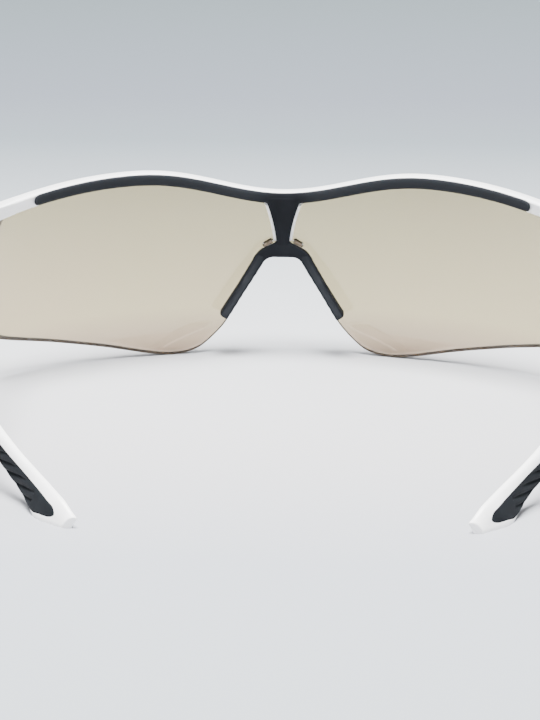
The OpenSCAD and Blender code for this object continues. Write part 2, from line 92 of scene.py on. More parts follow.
def add_object(name, mesh):
    """An object at the origin that holds a mesh."""
    made = bpy.data.objects.new(name, mesh)
    bpy.context.scene.collection.objects.link(made)
    return made


paper_mat, nodes, links, paper = new_material("studio_paper")
where = nodes.new("ShaderNodeTexCoord")
split = nodes.new("ShaderNodeSeparateXYZ")
depth_scale = nodes.new("ShaderNodeMapRange")
depth_scale.inputs["From Min"].default_value = -0.7
depth_scale.inputs["From Max"].default_value = 0.3
# Painted light: the sheet's tone follows its place along the floor, as the lamps' light falls off.
paper_light_falloff = nodes.new("ShaderNodeValToRGB")
stops = [(0.0, (0.132, 0.167, 0.176)), (0.29, (0.146, 0.164, 0.194)), (0.36, (0.16, 0.188, 0.21)),
         (0.57, (0.4, 0.42, 0.445)), (0.66, (0.47, 0.477, 0.497)), (0.72, (0.425, 0.425, 0.443)),
         (0.8, (0.33, 0.35, 0.387)), (1.0, (0.3, 0.336, 0.35))]
while len(paper_light_falloff.color_ramp.elements) < len(stops):
    paper_light_falloff.color_ramp.elements.new(0.5)
for element, (place, shade) in zip(paper_light_falloff.color_ramp.elements, stops):
    element.position = place
    element.color = (*shade, 1)
links.new(where.outputs["Object"], split.inputs[0])
links.new(split.outputs["Y"], depth_scale.inputs["Value"])
links.new(depth_scale.outputs[0], paper_light_falloff.inputs[0])
links.new(paper_light_falloff.outputs[0], paper.inputs["Base Color"])
paper.inputs["Roughness"].default_value = 0.7
paper.inputs["Specular IOR Level"].default_value = 0.2
sheet_mesh = bpy.data.meshes.new("studio_sheet")
sheet_mesh.from_pydata([(-3, -4, 0), (3, -4, 0), (3, 3, 0), (-3, 3, 0)], [], [(0, 1, 2, 3)])
sheet_mesh.materials.append(paper_mat)
studio_sheet = add_object("studio_sheet", sheet_mesh)

room = bpy.data.worlds.new("room")
bpy.context.scene.world = room
room.use_nodes = True
room.node_tree.nodes["Background"].inputs[0].default_value = (0.96, 0.98, 1.0, 1)
room.node_tree.nodes["Background"].inputs[1].default_value = 0.4


def soft_light(name, place, target, width, power, tone):
    """A wide lamp that hangs at a place and shines at a target."""
    lamp = bpy.data.lights.new(name, "AREA")
    lamp.shape = "RECTANGLE"
    lamp.size = width[0]
    lamp.size_y = width[1]
    lamp.energy = power
    lamp.color = tone
    hung = bpy.data.objects.new(name, lamp)
    hung.location = place
    hung.rotation_euler = (Vector(target) - Vector(place)).to_track_quat("-Z", "Y").to_euler()
    bpy.context.scene.collection.objects.link(hung)


soft_light("overhead_softbox", (0.05, 0.08, 1.15), (0, -0.02, 0.02), (0.7, 0.7), 95, (1, 0.995, 0.985))
soft_light("camera_softbox", (-0.25, 1.7, 0.8), (0, 0, 0.02), (1.2, 0.8), 7, (1, 1, 1))
soft_light("front_softbox", (-0.3, -0.9, 0.8), (0, -0.05, 0.02), (0.8, 0.6), 8, (0.97, 0.98, 1))


# Front frame
# One white injection-moulded nylon part: a brow bar over the lens, a post down to the nose piece,
# and at each end a lug with two ears for the temple's knuckle. It has a polished, rounded surface.
half_w = 71.8
half_d = 77.3
front_h = 46.1
notch_half = 13.4
wrap_r = 88
wrap_z = 16
sphere_y = -half_d + math.sqrt(wrap_r ** 2 - (notch_half * 0.7) ** 2)
brow_dip = 6
brow_peak = 37
brow_fall = 5
bar_h = 3.2
bar_front = 0.9
bar_rear = 3.9
bar_reach = 66.5
bar_end_drop = 0.45
crown_h = 1.15
crown_power = 3.2
crown_reach = 66
crown_fade = 5
lug_from = 61.5


def brow_height(x):
    """Height of the brow bar's top: low over the nose, highest over the eyes, lower at the hinges."""
    a = np.abs(np.asarray(x, float))
    inner = front_h - brow_dip * (0.5 + 0.5 * np.cos(np.pi * np.minimum(a, brow_peak) / brow_peak)) ** 1.2
    outer = front_h - brow_fall * (np.maximum(a - brow_peak, 0) / (half_w - brow_peak)) ** 1.9
    return np.where(a < brow_peak, inner, outer)


def end_drop(x):
    """How much further below the top the bar's lower edge lies towards the hinges."""
    return bar_end_drop * (np.abs(x) / half_w) ** 3


def finished(name, source, material, limit=40):
    """Turns an object with live modifiers into a plain mesh at the origin, shaded smooth."""
    seen = source.evaluated_get(bpy.context.evaluated_depsgraph_get())
    mesh = bpy.data.meshes.new_from_object(seen)
    mesh.name = name
    mesh.shade_smooth()
    mesh.set_sharp_from_angle(angle=math.radians(limit))
    mesh.materials.clear()
    mesh.materials.append(material)
    old = source.data
    bpy.data.objects.remove(source)
    bpy.data.meshes.remove(old)
    return add_object(name, mesh)


def melted(source, voxel, rounds):
    """Fuses what an object holds into one skin and softens its edges, as a moulding has them."""
    skin = source.modifiers.new("skin", "REMESH")
    skin.mode = "VOXEL"
    skin.voxel_size = voxel * mm
    soften = source.modifiers.new("soften", "SMOOTH")
    soften.factor = 0.5
    soften.iterations = rounds
    return source


def cad_part(node, point, facing):
    """A copy of what a CAD solid has on one side of a plane, closed where the plane cuts it."""
    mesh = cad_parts[node].data.copy()
    form = bmesh.new()
    form.from_mesh(mesh)
    bmesh.ops.remove_doubles(form, verts=form.verts, dist=1e-6)
    bmesh.ops.bisect_plane(form, geom=form.verts[:] + form.edges[:] + form.faces[:],
                           plane_co=Vector(point) * mm, plane_no=facing, clear_inner=True)
    bmesh.ops.holes_fill(form, edges=[e for e in form.edges if e.is_boundary], sides=0)
    bmesh.ops.triangulate(form, faces=form.faces)
    form.to_mesh(mesh)
    form.free()
    return add_object(node + "_copy", mesh)


def moved(mesh, change):
    """Moves a mesh's points by a function of their places in millimetres."""
    points = np.empty(len(mesh.vertices) * 3)
    mesh.vertices.foreach_get("co", points)
    points = points.reshape(-1, 3) / mm
    mesh.vertices.foreach_set("co", (change(points) * mm).ravel())
    mesh.update()


def crowned(points):
    """Rounds the top of the brow bar between its front and rear faces."""
    x, y, z = points.T
    depth = wrap_r - np.sqrt(x ** 2 + (y - sphere_y) ** 2 + (z - wrap_z) ** 2)
    middle = brow_height(x) - crown_h
    half_depth = (bar_front + bar_rear) / 2 + 0.15
    across_bar = np.clip((depth - (bar_rear - bar_front) / 2) / half_depth, -1, 1)
    shape = (1 - np.abs(across_bar) ** crown_power) ** (1 / crown_power)
    share = np.clip((crown_reach - np.abs(x)) / crown_fade, 0, 1)
    rise = np.maximum(z - middle, 0)
    out = points.copy()
    out[:, 2] = np.where(z > middle, middle + rise * (1 - share + share * shape), z)
    return out


def closed_form(name, points, faces, merged=False, triangles=False):
    """A closed form from points in millimetres, with its faces turned outwards."""
    mesh = bpy.data.meshes.new(name)
    mesh.from_pydata((np.array(points, float) * mm).tolist(), [], faces)
    form = bmesh.new()
    form.from_mesh(mesh)
    if merged:
        bmesh.ops.remove_doubles(form, verts=form.verts, dist=1e-7)
    if triangles:
        bmesh.ops.triangulate(form, faces=form.faces)
    bmesh.ops.recalc_face_normals(form, faces=form.faces)
    form.to_mesh(mesh)
    form.free()
    return add_object(name, mesh)


def ring_skin(name, rings):
    """A closed skin over equal rings of points in millimetres."""
    rings = np.array(rings, float)
    count, around = rings.shape[:2]
    faces = [tuple(range(around)), tuple(range((count - 1) * around, count * around))]
    for i in range(count - 1):
        for j in range(around):
            a = i * around + j
            b = i * around + (j + 1) % around
            faces.append((a, b, b + around, a + around))
    return closed_form(name, rings.reshape(-1, 3), faces)


def round_box(count, power):
    """Unit outline between a circle and a square."""
    a = np.linspace(0, 2 * math.pi, count, endpoint=False)
    c = np.cos(a)
    s = np.sin(a)
    return np.stack([np.sign(c) * np.abs(c) ** (2 / power), np.sign(s) * np.abs(s) ** (2 / power)], 1)


def together(name, parts):
    """Joins objects into one, each still a closed skin."""
    form = bmesh.new()
    for part in parts:
        form.from_mesh(part.data)
        bpy.data.objects.remove(part)
    mesh = bpy.data.meshes.new(name)
    form.to_mesh(mesh)
    form.free()
    return add_object(name, mesh)


def new_tree(name, sizes):
    """Starts a tree of geometry nodes whose named inputs are sizes and a finish."""
    tree = bpy.data.node_groups.new(name, "GeometryNodeTree")
    tree.interface.new_socket("Geometry", in_out="INPUT", socket_type="NodeSocketGeometry")
    for label in sizes:
        tree.interface.new_socket(label, in_out="INPUT", socket_type="NodeSocketFloat")
    tree.interface.new_socket("Finish", in_out="INPUT", socket_type="NodeSocketMaterial")
    tree.interface.new_socket("Geometry", in_out="OUTPUT", socket_type="NodeSocketGeometry")
    return tree, tree.nodes.new("NodeGroupInput").outputs


def fill(tree, socket, value):
    """Gives a socket a plain number, or links it to another node's result."""
    if isinstance(value, (int, float)):
        socket.default_value = value
    else:
        tree.links.new(value, socket)


def calculated(tree, kind, *values):
    """The result of a calculation with sockets and plain numbers."""
    node = tree.nodes.new("ShaderNodeMath")
    node.operation = kind
    for socket, value in zip(node.inputs, values):
        fill(tree, socket, value)
    return node.outputs[0]


def parted(tree, vector):
    """The X, Y and Z of a vector."""
    node = tree.nodes.new("ShaderNodeSeparateXYZ")
    tree.links.new(vector, node.inputs[0])
    return node.outputs


def end_tree(tree, given, way, vector):
    """Ends a tree: moves the points by or to a vector, makes the result real and gives it its finish."""
    shift = tree.nodes.new("GeometryNodeSetPosition")
    tree.links.new(given["Geometry"], shift.inputs["Geometry"])
    tree.links.new(vector, shift.inputs[way])
    real = tree.nodes.new("GeometryNodeRealizeInstances")
    tree.links.new(shift.outputs[0], real.inputs[0])
    paint = tree.nodes.new("GeometryNodeSetMaterial")
    tree.links.new(real.outputs[0], paint.inputs["Geometry"])
    tree.links.new(given["Finish"], paint.inputs["Material"])
    tree.links.new(paint.outputs[0], tree.nodes.new("NodeGroupOutput").inputs[0])
    return tree


def wrap_tree():
    """Geometry nodes that carry a flat form onto the sphere that the lens follows."""
    tree, given = new_tree("wrap_on_sphere", ("Sphere radius", "Sphere height", "Sphere middle"))
    flat = parted(tree, tree.nodes.new("GeometryNodeInputPosition").outputs[0])
    reach = calculated(tree, "SUBTRACT", given["Sphere radius"], flat["Y"])
    rise = calculated(tree, "SUBTRACT", flat["Z"], given["Sphere height"])
    left = calculated(tree, "SUBTRACT", calculated(tree, "MULTIPLY", reach, reach),
                      calculated(tree, "MULTIPLY", flat["X"], flat["X"]))
    left = calculated(tree, "SUBTRACT", left, calculated(tree, "MULTIPLY", rise, rise))
    back = calculated(tree, "SUBTRACT", given["Sphere middle"], calculated(tree, "SQRT", left))
    whole = tree.nodes.new("ShaderNodeCombineXYZ")
    for label, value in (("X", flat["X"]), ("Y", back), ("Z", flat["Z"])):
        tree.links.new(value, whole.inputs[label])
    return end_tree(tree, given, "Position", whole.outputs[0])


def set_input(modifier, label, value):
    """Sets a modifier's input by the identifier of the socket with this name."""
    for socket in modifier.node_group.interface.items_tree:
        if socket.name == label and socket.in_out == "INPUT":
            modifier[socket.identifier] = value


sphere_wrap = wrap_tree()


def wrapped(source, material):
    """Lays a flat form on the lens's sphere, with a live modifier."""
    wrap = source.modifiers.new("wrap", "NODES")
    wrap.node_group = sphere_wrap
    set_input(wrap, "Sphere radius", wrap_r * mm)
    set_input(wrap, "Sphere height", wrap_z * mm)
    set_input(wrap, "Sphere middle", sphere_y * mm)
    set_input(wrap, "Finish", material)
    return source


def cut_away(name, source, cutters, material):
    """Cuts closed forms out of a piece."""
    for cutter in cutters:
        cut = source.modifiers.new("cut", "BOOLEAN")
        cut.object = cutter
        cut.solver = "EXACT"
    made = finished(name, source, material)
    for cutter in cutters:
        bpy.data.objects.remove(cutter)
    return made


def along_brow(name, reach, high, low, near, far):
    """A band along the brow bar. high and low are how far its edges lie below the top of the bar."""
    section = round_box(32, 9)
    rings = []
    for x in np.linspace(-reach, reach, 200):
        top = float(brow_height(x)) - high(x)
        bottom = float(brow_height(x)) - low(x)
        rings.append(np.stack([np.full(32, x), (near + far) / 2 + (far - near) / 2 * section[:, 0],
                               (top + bottom) / 2 + (top - bottom) / 2 * section[:, 1]], 1))
    return ring_skin(name, rings)


def up_post(name, foot, head, inset, near, far, power):
    """A column up the nose post between two heights and two depths, narrower than the post by an inset."""
    section = round_box(28, power)
    rings = []
    for z in np.linspace(foot, head, 40):
        half = float(post_half(z)) - inset
        rings.append(np.stack([half * section[:, 1], (near + far) / 2 + (far - near) / 2 * section[:, 0],
                               np.full(28, z)], 1))
    return ring_skin(name, rings)


post_top = 4.4
post_foot = 2.3
post_z = 27.6
post_head = 38.8
tongue_half = 1.15
tongue_t = 1.3
tongue_low = 1.7
clip_front = 2.03
clip_rear = 3.33
pad_half = 57.2
pad_h = 2.45
pad_drop = 0.35
pad_front = 3.1
pad_rear = 5.0
lens_t = 2
lens_bite = 1.7
lens_top = 64.7
lens_fit = 0.05


def post_half(z):
    """Half the width of the nose post at a height."""
    t = np.maximum((z - post_z) / (brow_height(0) - bar_h - post_z), 0)
    return post_foot + (post_top - post_foot) * t ** 1.5


def along_strip(name, grow, near, far, power, crown, skirt):
    """The brow pad's long form with its round ends, grown a little. A skirt lowers it to cut the recess."""
    end_power = 2.6
    skirt_reach = 50
    section = round_box(28, power)
    radius = pad_h / 2 + grow
    reach = pad_half + grow
    nose = radius * (1 - np.cos(np.linspace(0.1, math.pi / 2, 8)))
    straight = np.linspace(-reach + radius, reach - radius, 260)[1:-1]
    rings = []
    for x in np.concatenate([-reach + nose, straight, (reach - nose)[::-1]]):
        beyond = max(abs(x) - (reach - radius), 0) / radius
        swell = max(1 - beyond ** end_power, 0.001) ** (1 / end_power)
        middle = float(brow_height(x) - end_drop(x)) - pad_drop - pad_h / 2
        height = radius * swell * section[:, 1]
        lowered = 1 + skirt * max(1 - (abs(x) / skirt_reach) ** 4, 0)
        height = np.where(height < 0, height * lowered, height)
        depth = (near + far) / 2 + (far - near) / 2 * section[:, 0] * (1 - crown + crown * swell)
        depth -= 0.5 * crown * np.maximum(section[:, 0], 0) * (section[:, 1] + 1)
        rings.append(np.stack([np.full(28, x), depth, middle + height], 1))
    return ring_skin(name, rings)


def object_noise(nodes, links, scale, detail=2):
    """A noise that stays with the object."""
    place = nodes.new("ShaderNodeTexCoord")
    noise = nodes.new("ShaderNodeTexNoise")
    noise.inputs["Scale"].default_value = scale
    noise.inputs["Detail"].default_value = detail
    links.new(place.outputs["Object"], noise.inputs["Vector"])
    return noise.outputs[0]


def drifting_roughness(nodes, links, shader, noise, smooth, rough):
    """Lets a surface's roughness drift with a noise."""
    drift = nodes.new("ShaderNodeMapRange")
    drift.inputs["To Min"].default_value = smooth
    drift.inputs["To Max"].default_value = rough
    links.new(noise, drift.inputs["Value"])
    links.new(drift.outputs[0], shader.inputs["Roughness"])


def fine_grain(nodes, links, shader, noise, strength, depth):
    """Gives a surface the fine relief of its mould."""
    relief = nodes.new("ShaderNodeBump")
    relief.inputs["Strength"].default_value = strength
    relief.inputs["Distance"].default_value = depth
    links.new(noise, relief.inputs["Height"])
    links.new(relief.outputs[0], shader.inputs["Normal"])


white_mat, nodes, links, white = new_material("polished_white_nylon")
white.inputs["Base Color"].default_value = (0.93, 0.93, 0.935, 1)
white.inputs["Subsurface Weight"].default_value = 0.12
white.inputs["Subsurface Radius"].default_value = (0.8, 0.8, 0.9)
white.inputs["Subsurface Scale"].default_value = 0.0012
white.inputs["Coat Weight"].default_value = 0.25
white.inputs["Coat Roughness"].default_value = 0.12
drifting_roughness(nodes, links, white, object_noise(nodes, links, 60, 3), 0.24, 0.36)
fine_grain(nodes, links, white, object_noise(nodes, links, 2600), 0.03, 0.00005)

bar = along_brow("brow_bar", bar_reach, lambda x: 0, lambda x: bar_h + end_drop(x), -bar_front, bar_rear)
post = up_post("nose_post", post_z, post_head, 0, clip_front, bar_rear, 8)
tongue_middle = (clip_front + clip_rear) / 2
tongue_ring = [(tongue_half * a, tongue_middle + tongue_t / 2 * b) for b, a in round_box(16, 9)]
tongue = ring_skin("post_tongue", [[(x, y, z) for x, y in tongue_ring]
                                   for z in np.linspace(post_z - tongue_low, post_z + 0.9, 6)])
front = finished("front_flat", wrapped(together("front_flat", [bar, post, tongue]), white_mat), white_mat)
lugs = [cad_part("front_frame", (side * lug_from, 0, 0), (side, 0, 0)) for side in (1, -1)]
front = together("front_form", [front] + lugs)
front = finished("front_form", melted(front, 0.22, 4), white_mat)
moved(front.data, crowned)
recess = along_strip("recess", grow=0.13, near=pad_front - 0.03, far=9, power=9, crown=0, skirt=0.5)
groove = along_brow("groove", lens_top + lens_fit, lambda x: bar_h + end_drop(x) - lens_bite - lens_fit,
                    lambda x: bar_h + end_drop(x) + 1, -lens_fit, lens_t + lens_fit)
cutters = [finished("cutter", wrapped(form, white_mat), white_mat) for form in (recess, groove)]
front = cut_away("front_moulding", front, cutters, white_mat)
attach(front, "front")
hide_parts("front_frame")


# Lens
# One wide shield of tinted polycarbonate, moulded to a sphere and cut to its outline, with a nose notch
# and two slots for the clip. Its top edge sits in the groove of the brow bar and the rest is bare.
lobe_x = 26
lens_rise = 8.4
lens_half = 69.2
lens_corner = 4.2
notch_z = 24.4
bend_x = 5.3
lug_low = 32.5
edge_round = 0.6
slot_x = 3.65
slot_z = 26.7
slot_slope = math.radians(-32)
slot_straight = 0.75
slot_round = 0.6
span = lens_half - lobe_x
lens_keys = [
    (0, notch_z), (bend_x * 0.5, notch_z - 0.4), (bend_x * 0.9, notch_z - 2),
    (bend_x + 1.2, notch_z - 3.8), (notch_half - 3.3, notch_z * 0.58), (notch_half, notch_z * 0.31),
    (lobe_x - 8, 2.75), (lobe_x - 4.6, 0.75), (lobe_x, 0),
    (lobe_x + 6, lens_rise * 0.08), (lobe_x + span * 0.37, lens_rise * 0.37),
    (lobe_x + span * 0.6, lens_rise * 0.66), (lens_half - 3.6, lens_rise + 0.9),
    (lens_half - 0.8, lens_rise + lens_corner), (lens_half, lens_rise + lens_corner * 2.4),
    (lens_half - 0.4, lug_low - 2.4), (lens_half - 0.9, lug_low + 1.6), (lens_half - 2.4, lug_low + 3.8)]


def smooth_line(keys, steps):
    """A smooth line through a few points, with its points evenly spaced."""
    keys = np.array(keys, float)
    points = []
    for i in range(len(keys) - 1):
        a, b, c, d = keys[max(i - 1, 0)], keys[i], keys[i + 1], keys[min(i + 2, len(keys) - 1)]
        for t in np.linspace(0, 1, 12, endpoint=False):
            points.append(0.5 * (2 * b + (c - a) * t + (2 * a - 5 * b + 4 * c - d) * t * t
                                 + (3 * b - a - 3 * c + d) * t ** 3))
    points.append(keys[-1])
    points = np.array(points)
    run = np.concatenate([[0], np.cumsum(np.linalg.norm(np.diff(points, axis=0), axis=1))])
    marks = np.linspace(0, run[-1], steps)
    return np.stack([np.interp(marks, run, points[:, k]) for k in range(points.shape[1])], 1)


def grid_shell(name, front_face, back_face):
    """A closed solid between two equal grids of points in millimetres."""
    rows, columns = front_face.shape[:2]
    count = rows * columns
    points = np.concatenate([front_face.reshape(-1, 3), back_face.reshape(-1, 3)])
    faces = []
    for i in range(rows - 1):
        for j in range(columns - 1):
            a = i * columns + j
            faces.append((a, a + 1, a + columns + 1, a + columns))
            faces.append((count + a, count + a + columns, count + a + columns + 1, count + a + 1))
    rim = ([(0, j) for j in range(columns)] + [(i, columns - 1) for i in range(1, rows)]
           + [(rows - 1, j) for j in range(columns - 2, -1, -1)] + [(i, 0) for i in range(rows - 2, 0, -1)])
    for k in range(len(rim)):
        a = rim[k][0] * columns + rim[k][1]
        b = rim[(k + 1) % len(rim)][0] * columns + rim[(k + 1) % len(rim)][1]
        faces.append((a, count + a, count + b, b))
    return closed_form(name, points, faces, merged=True)


lens_mat, nodes, links, tint = new_material("tinted_polycarbonate")
tint.inputs["Transmission Weight"].default_value = 1
tint.inputs["IOR"].default_value = 1.45
tint.inputs["Specular IOR Level"].default_value = 0.2
tint.inputs["Roughness"].default_value = 0.02
# The tint turns browner and darker over the lowest centimetre of the lens: painted shade near the ground,
# over the lens's own even tint.
place = nodes.new("ShaderNodeTexCoord")
split = nodes.new("ShaderNodeSeparateXYZ")
height = nodes.new("ShaderNodeMapRange")
height.inputs["From Max"].default_value = 0.046
tones = nodes.new("ShaderNodeValToRGB")
tones.color_ramp.elements[0].color = (0.38, 0.28, 0.2, 1)
tones.color_ramp.elements[1].color = (0.54, 0.45, 0.25, 1)
for stop, tone in ((0.12, (0.42, 0.33, 0.23)), (0.24, (0.52, 0.44, 0.265)), (0.75, (0.53, 0.45, 0.265))):
    tones.color_ramp.elements.new(stop).color = (*tone, 1)
# Pinker blotches that a noise mixes into the tint are a painted reflection of the lens's coating.
coat_reflection_patches = nodes.new("ShaderNodeMapRange")
coat_reflection_patches.inputs["From Min"].default_value = 0.5
coat_reflection_patches.inputs["From Max"].default_value = 0.75
coat_reflection_patches.inputs["To Max"].default_value = 0.3
coat_reflection_mix = nodes.new("ShaderNodeMix")
coat_reflection_mix.data_type = "RGBA"
coat_reflection_mix.inputs["B"].default_value = (0.52, 0.4, 0.27, 1)
links.new(place.outputs["Object"], split.inputs[0])
links.new(split.outputs["Z"], height.inputs["Value"])
links.new(height.outputs[0], tones.inputs[0])
links.new(object_noise(nodes, links, 22, 1), coat_reflection_patches.inputs["Value"])
links.new(coat_reflection_patches.outputs[0], coat_reflection_mix.inputs["Factor"])
links.new(tones.outputs[0], coat_reflection_mix.inputs["A"])
links.new(coat_reflection_mix.outputs["Result"], tint.inputs["Base Color"])


def two_tones(nodes, links, noise, dark, light, low, high):
    """A colour that drifts from a dark tone to a light one with a noise."""
    blend = nodes.new("ShaderNodeValToRGB")
    for stop, place, tone in zip(blend.color_ramp.elements, (low, high), (dark, light)):
        stop.position = place
        stop.color = (*tone, 1)
    links.new(noise, blend.inputs[0])
    return blend.outputs[0]


def mottled(name, dark, light, scale, roughness, specular):
    """A plastic whose colour drifts a little between two tones."""
    material, nodes, links, shader = new_material(name)
    tone = two_tones(nodes, links, object_noise(nodes, links, scale), dark, light, 0.35, 0.65)
    links.new(tone, shader.inputs["Base Color"])
    shader.inputs["Roughness"].default_value = roughness
    shader.inputs["Specular IOR Level"].default_value = specular
    return material


rim_mat = mottled("cut_lens_edge", (0.098, 0.081, 0.065), (0.118, 0.098, 0.079), 300, 0.8, 0)
# The slots' walls are painted near black: painted shade inside the slots.
slot_shade_mat = mottled("slot_wall_painted_shade", (0.024, 0.018, 0.013), (0.036, 0.028, 0.02), 900, 0.8, 0)

columns = 121
low_edge = smooth_line(lens_keys, columns)
low_edge[:, 1] = np.maximum(low_edge[:, 1], 0)
low_edge = np.concatenate([(low_edge * [-1, 1])[:0:-1], low_edge])
top_x = np.linspace(-lens_top, lens_top, len(low_edge))
top_edge = np.stack([top_x, brow_height(top_x) - end_drop(top_x) - bar_h + lens_bite], 1)


def grown(line, out):
    """The same line, moved to its left by a distance in millimetres."""
    along = np.gradient(line, axis=0)
    along /= np.linalg.norm(along, axis=1)[:, None]
    return line + np.stack([-along[:, 1], along[:, 0]], 1) * out


turns = np.radians([0, 22.5, 45, 67.5])
edge_rows = [low_edge] + [grown(low_edge, edge_round * (1 - math.cos(turn))) for turn in turns]
edge_depths = [lens_t / 2] + [edge_round * (1 - math.sin(turn)) for turn in turns]
steps = np.linspace(0, 1, 41)[:, None, None]
face = grown(low_edge, edge_round)[None] * (1 - steps) + top_edge[None] * steps
face = np.concatenate([edge_rows, face])
depths = np.concatenate([edge_depths, np.zeros(len(steps))])


def layered(row_depths):
    """The lens's outline as rows of points, each row at its own depth."""
    return np.stack([face[..., 0], np.broadcast_to(row_depths[:, None], face.shape[:2]), face[..., 1]], -1)


lens = grid_shell("lens_flat", layered(depths), layered(lens_t - depths))
lens = finished("lens_wrap", wrapped(lens, lens_mat), lens_mat)


def slab(name, outline, near, far, triangles=True):
    """A flat plate with the same outline at two depths."""
    points = [(x, near, z) for x, z in outline] + [(x, far, z) for x, z in outline]
    count = len(outline)
    faces = [tuple(range(count)), tuple(range(2 * count - 1, count - 1, -1))]
    faces += [(k, k + count, (k + 1) % count + count, (k + 1) % count) for k in range(count)]
    return closed_form(name, points, faces, triangles=triangles)


def slot_place(side, along, up):
    """A point by its distance along the slope of a clip slot and square to it."""
    x = slot_x + along * math.cos(slot_slope) - up * math.sin(slot_slope)
    return side * x, slot_z + along * math.sin(slot_slope) + up * math.cos(slot_slope)


def slot_cutter(side):
    """A bar with round ends that cuts one clip slot."""
    outline = []
    for k in range(24):
        a = 2 * math.pi * k / 24
        end = slot_straight if math.cos(a) > 0 else -slot_straight
        outline.append(slot_place(side, end + slot_round * math.cos(a), slot_round * math.sin(a)))
    return slab("slot_cutter", outline, -half_d - 4.7, -half_d + 9.3, triangles=False)


lens = cut_away("lens_wrap", lens, [slot_cutter(1), slot_cutter(-1)], lens_mat)
lens.data.materials.append(rim_mat)
lens.data.materials.append(slot_shade_mat)
# A face that turns away from the sphere's ray belongs to the lens's edge or to the wall of a slot, whose
# near black is painted shade.
slots_within = 6
slots_above = 25
for side_face in lens.data.polygons:
    ray = (side_face.center - Vector((0, sphere_y, wrap_z)) * mm).normalized()
    at_slot = abs(side_face.center.x) < slots_within * mm and side_face.center.z > slots_above * mm
    if abs(side_face.normal.dot(ray)) < (0.95 if at_slot else 0.92):
        side_face.material_index = 2 if at_slot else 1
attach(lens, "front")
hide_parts("lens_shield")


# Brow pad
# A soft black rubber strip pressed into a recess in the back of the brow bar, with a tongue that faces
# the post. It keeps sweat and light off the eyes. Its back is crowned and its ends are round.
def soft_rubber(name, dark, light):
    """A matt rubber with a fine grain, whose tone drifts a little."""
    material, nodes, links, shader = new_material(name)
    cloud = object_noise(nodes, links, 220, 4)
    tone = two_tones(nodes, links, cloud, dark, light, 0.3, 0.7)
    links.new(tone, shader.inputs["Base Color"])
    drifting_roughness(nodes, links, shader, cloud, 0.5, 0.66)
    fine_grain(nodes, links, shader, object_noise(nodes, links, 5200), 0.2, 0.00006)
    shader.inputs["Specular IOR Level"].default_value = 0.045
    return material


rubber_dark = (0.0078, 0.0088, 0.011)
rubber_light = (0.0108, 0.0122, 0.015)
rubber_mat = soft_rubber("soft_black_rubber", rubber_dark, rubber_light)

pad_mat = soft_rubber("brow_pad_rubber", rubber_dark, rubber_light)
nodes = pad_mat.node_tree.nodes
links = pad_mat.node_tree.links
pad_colour = nodes["Principled BSDF"].inputs["Base Color"]
# Away from the post the pad's rubber turns lighter: painted light where the strip catches the lamps from
# above.
place = nodes.new("ShaderNodeTexCoord")
split = nodes.new("ShaderNodeSeparateXYZ")
aside = nodes.new("ShaderNodeMath")
aside.operation = "ABSOLUTE"
from_post = nodes.new("ShaderNodeMapRange")
from_post.inputs["From Min"].default_value = 3 * mm
from_post.inputs["From Max"].default_value = 9 * mm
painted_light_mix = nodes.new("ShaderNodeMix")
painted_light_mix.data_type = "RGBA"
painted_light_mix.inputs["B"].default_value = (0.018, 0.0198, 0.0232, 1)
links.new(place.outputs["Object"], split.inputs[0])
links.new(split.outputs["X"], aside.inputs[0])
links.new(aside.outputs[0], from_post.inputs["Value"])
links.new(from_post.outputs[0], painted_light_mix.inputs["Factor"])
links.new(pad_colour.links[0].from_socket, painted_light_mix.inputs["A"])
links.new(painted_light_mix.outputs["Result"], pad_colour)

strip = along_strip("strip", grow=0.16, near=pad_front, far=pad_rear + 0.12, power=2.2, crown=0.5, skirt=0)
facing = up_post("facing", post_z - 1.3, post_head - 0.2, 0.7, bar_rear + 0.03, pad_rear, 4)
pad = together("pad_flat", [strip, facing])
pad = finished("pad_flat", melted(pad, 0.15, 4), pad_mat)
pad = finished("brow_strip", wrapped(pad, pad_mat), pad_mat)
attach(pad, "front")
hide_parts("brow_pad")


# Nose clip
# A thin, hard white moulding behind the lens. Two hooks pass through the lens's slots,
# and a notch in its top takes the tongue of the post. The soft bridge is moulded over its back.
saddle_keys = [
    (1.5, 28.45), (1.5, 28.0), (1.75, 27.45), (2.4, 27.0), (3.4, 26.5), (4.5, 25.98), (5.35, 25.45),
    (6.05, 24.8), (6.65, 24.05), (7.1, 23.3), (7.2, 22.75), (6.9, 22.3), (6.2, 22.1), (5.5, 22.15),
    (4.85, 22.5), (4.3, 23.0), (3.7, 23.5), (2.85, 23.85), (1.8, 23.92), (0.9, 23.92), (0, 23.92)]
notch_fit = 0.03
hook_half = 1.12
hook_half_t = 0.4

saddle_line = smooth_line(saddle_keys, 70)
clip_line = grown(saddle_line, -0.22)
clip_line = clip_line[clip_line[:, 1] < post_z - notch_fit]
notch_side = tongue_half + notch_fit
notch_floor = post_z - tongue_low - 0.02
notch = np.array([(0, notch_floor), (notch_side, notch_floor), (notch_side, post_z - notch_fit)])
clip_line = np.concatenate([notch, clip_line])
clip_line = np.concatenate([clip_line, (clip_line * [-1, 1])[-2:0:-1]])
clip = slab("clip_flat", clip_line, clip_front, clip_rear)
clip = finished("clip_flat", melted(clip, 0.12, 2), white_mat)
clip = finished("nose_clip_moulding", wrapped(clip, white_mat), white_mat)
hooks = []
for side in (1, -1):
    ring = [slot_place(side, u, w) for u, w in round_box(16, 5) * [hook_half, hook_half_t] + [0, -0.05]]
    hook_rings = [[(x, depth, z) for x, z in ring] for depth in np.linspace(-0.3, clip_front + 0.2, 6)]
    hooks.append(ring_skin("hook", hook_rings))
hooks = finished("hooks", wrapped(together("hooks", hooks), white_mat), white_mat)
plate_faces = len(clip.data.polygons)
clip = together("nose_clip_moulding", [clip, hooks])
clip = finished("nose_clip_moulding", clip, white_mat)
